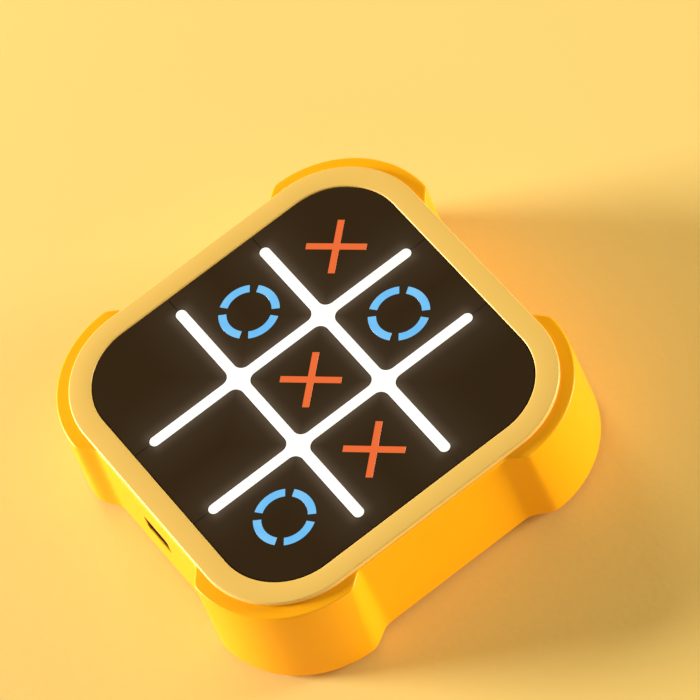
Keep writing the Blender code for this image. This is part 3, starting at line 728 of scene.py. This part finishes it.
def build_cover():
    """The base cover with rounded edges, countersunk screw and foot recesses, and the speaker's grille."""
    edge, inset = 0.3, WALL + 0.3
    rings = [cover_ring(inset + i, CASE_LOW + edge - h) for i, h in reversed(rounded(edge, 3))]
    rings += [cover_ring(inset + i, COVER_TOP - edge + h) for i, h in rounded(edge, 3)]
    skin = loft("cover_skin", rings, capped=True)
    cover = piece("cover_skin", skin, COVER_AMBER, "housing", "amber_cover", "base_cover")
    below, above = CASE_LOW - 1, COVER_TOP + 1
    funnel = [(0, below), (1.9, below), (GRILLE_HOLE, CASE_LOW + 0.25), (GRILLE_HOLE, above), (0, above)]
    for place in grille_places():
        cut(cover, turned("grille_hole", funnel, place, 32))
    bore, sink, step = 1.5, 2.9, 2.2
    well = [(0, below), (sink + 1, below), (sink, CASE_LOW + 0.2), (sink, step), (bore, step)]
    well += [(bore, above), (0, above)]
    pocket = [(0, below), (FOOT_RADIUS + 0.3, below), (FOOT_RADIUS + 0.3, 1.7), (0, 1.7)]
    for x, y in CORNERS:
        cut(cover, turned("screw_recess", well, (x * SCREW_PLACE, y * SCREW_PLACE), 48))
        cut(cover, turned("foot_recess", pocket, (x * FOOT_PLACE, y * FOOT_PLACE), 64))


def foot_profile():
    """A rubber foot: a sole with a shallow recess, a round edge and a bevelled top."""
    edge = 0.5
    low = [(FOOT_RADIUS - i, edge - h) for i, h in reversed(rounded(edge, 5))]
    top = [(FOOT_RADIUS, FOOT_TOP - 0.1), (FOOT_RADIUS - 0.1, FOOT_TOP), (0, FOOT_TOP)]
    return [(0, 0.12), (2.6, 0.12), (2.8, 0.0), *low, *top]


def screw_profile():
    """A pan-head screw, head down, with a groove for each turn of its thread."""
    head = [(SCREW_HEAD - i, 1.35 - h) for i, h in reversed(rounded(0.35, 4, 80))]
    thread = []
    for turn in range(14):
        base = SCREW_HEAD_TOP + 0.8 + THREAD_PITCH * turn
        thread += [(THREAD_ROOT, base), (THREAD_ROOT, base + 0.12)]
        thread += [(THREAD_CREST, base + 0.28), (THREAD_CREST, base + 0.36)]
    neck = [(SCREW_HEAD, SCREW_HEAD_TOP), (1.05, SCREW_HEAD_TOP)]
    return [(0, 1.0), *head, *neck, *thread, (0.7, SCREW_TIP - 0.1), (0, SCREW_TIP)]


def build_feet_and_screws():
    for number, (x, y) in enumerate(CORNERS, 1):
        foot = turned(f"foot_pad_{number}", foot_profile(), (x * FOOT_PLACE, y * FOOT_PLACE), 96)
        piece(foot.name, foot, RUBBER, "housing", "foot_rubber", f"foot_{number}")

        place_x, place_y = x * SCREW_PLACE, y * SCREW_PLACE
        mesh = turned(f"screw_{number}", screw_profile(), (place_x, place_y), 48)
        screw = piece(mesh.name, mesh, STEEL, "housing", "screw_steel", f"case_screw_{number}")
        for size in ((2.6, 0.6), (0.6, 2.6)):
            outline = [(place_x + px, place_y + py) for px, py in box_outline(*size)]
            cut(screw, plate("screw_cross", outline, 0.0, 1.7))


def finish_cad():
    """Surfaces for the CAD nodes that stay, by the start of their names."""
    surfaces = {
        "key_cap": KEY_GLOSS,
        "symbol_guide": CLEAR,
        "cell_led": LED_BODY,
        "light_baffle": BAFFLE_WHITE,
        "main_board": BOARD,
        "controller_chip": BLACK,
        "mode_switch": BLACK,
        "battery_cell": FOIL,
        "battery_lead": RED_SLEEVE,
        "speaker_frame": SPEAKER_STEEL,
        "speaker_cone": CONE,
        "speaker_lead": BLACK_SLEEVE,
    }
    for name, node in NODES.items():
        for start, surface in surfaces.items():
            if name.startswith(start):
                node.data.materials.clear()
                node.data.materials.append(surface)


# ---- the stage ----


def build_stage():
    drawn = bmesh.new()
    bmesh.ops.create_grid(drawn, x_segments=2, y_segments=2, size=FLOOR_HALF)
    mesh = bpy.data.meshes.new("floor")
    drawn.to_mesh(mesh)
    drawn.free()
    floor = bpy.data.objects.new("floor", mesh)
    bpy.context.scene.collection.objects.link(floor)
    paper = Surface("floor_paper", rgb(238, 208, 134), 0.8)
    mesh.materials.append(paper.mottle(3, 0.01).grain(600, 0.00003).material)


def aim(thing, place, target, roll=0.0):
    """Puts a lamp or the camera at a place, facing a target, turned by roll degrees about its view."""
    thing.location = place
    look = (Vector(target) - Vector(place)).to_track_quat("-Z", "Y").to_matrix()
    thing.rotation_euler = (look @ Matrix.Rotation(math.radians(roll), 3, "Z")).to_euler()


def lamp(name, place, size, power, colour, gloss=True):
    """A soft round lamp aimed at the object, in metres and watts."""
    light = bpy.data.lights.new(name, "AREA")
    light.shape = "DISK"
    light.size = size
    light.energy = power
    light.color = colour
    made = bpy.data.objects.new(name, light)
    made.visible_camera = False
    made.visible_glossy = gloss
    bpy.context.scene.collection.objects.link(made)
    aim(made, place, (0, 0, 0.012))


def build_lights():
    """Four low warm lamps: a key light from the front left, one from behind, and two soft fills."""
    warm, cream = (1.0, 0.93, 0.66), (1.0, 0.95, 0.74)
    lamp("left_front", (-1.1, -1.3, 0.46), 0.6, 64.0, cream)
    lamp("far_side", (-1.53, 0.27, 0.72), 0.72, 10.0, warm, gloss=False)
    lamp("right_back", (0.61, 1.51, 0.24), 0.65, 36.0, cream)
    lamp("near_side", (1.53, -0.27, 0.18), 0.9, 7.2, warm)
    world = bpy.data.worlds.new("studio")
    world.use_nodes = True
    sky = world.node_tree.nodes["Background"]
    sky.inputs["Color"].default_value = rgb(255, 226, 146)
    sky.inputs["Strength"].default_value = 0.32
    bpy.context.scene.world = world
    bpy.context.scene.view_settings.view_transform = "Standard"


def build_camera():
    lens = bpy.data.cameras.new("camera")
    lens.lens = 259.7
    lens.sensor_width = 36.0
    camera = bpy.data.objects.new("camera", lens)
    bpy.context.scene.collection.objects.link(camera)
    target = Vector((0.0, 0.463 * PITCH, BAR_TOP)) * MM
    turn, rise, roll = math.radians(-15.05), math.radians(55.02), -24.5
    distance = 47.12 * PITCH * MM
    away = Vector((math.cos(turn) * math.cos(rise), math.sin(turn) * math.cos(rise), math.sin(rise)))
    aim(camera, target + away * distance, target, roll)
    bpy.context.scene.camera = camera


build_camera()
build_case()
build_bezel()
build_face()
build_socket()
build_button()
build_domes()
build_cover()
build_feet_and_screws()
finish_cad()
build_stage()
build_lights()
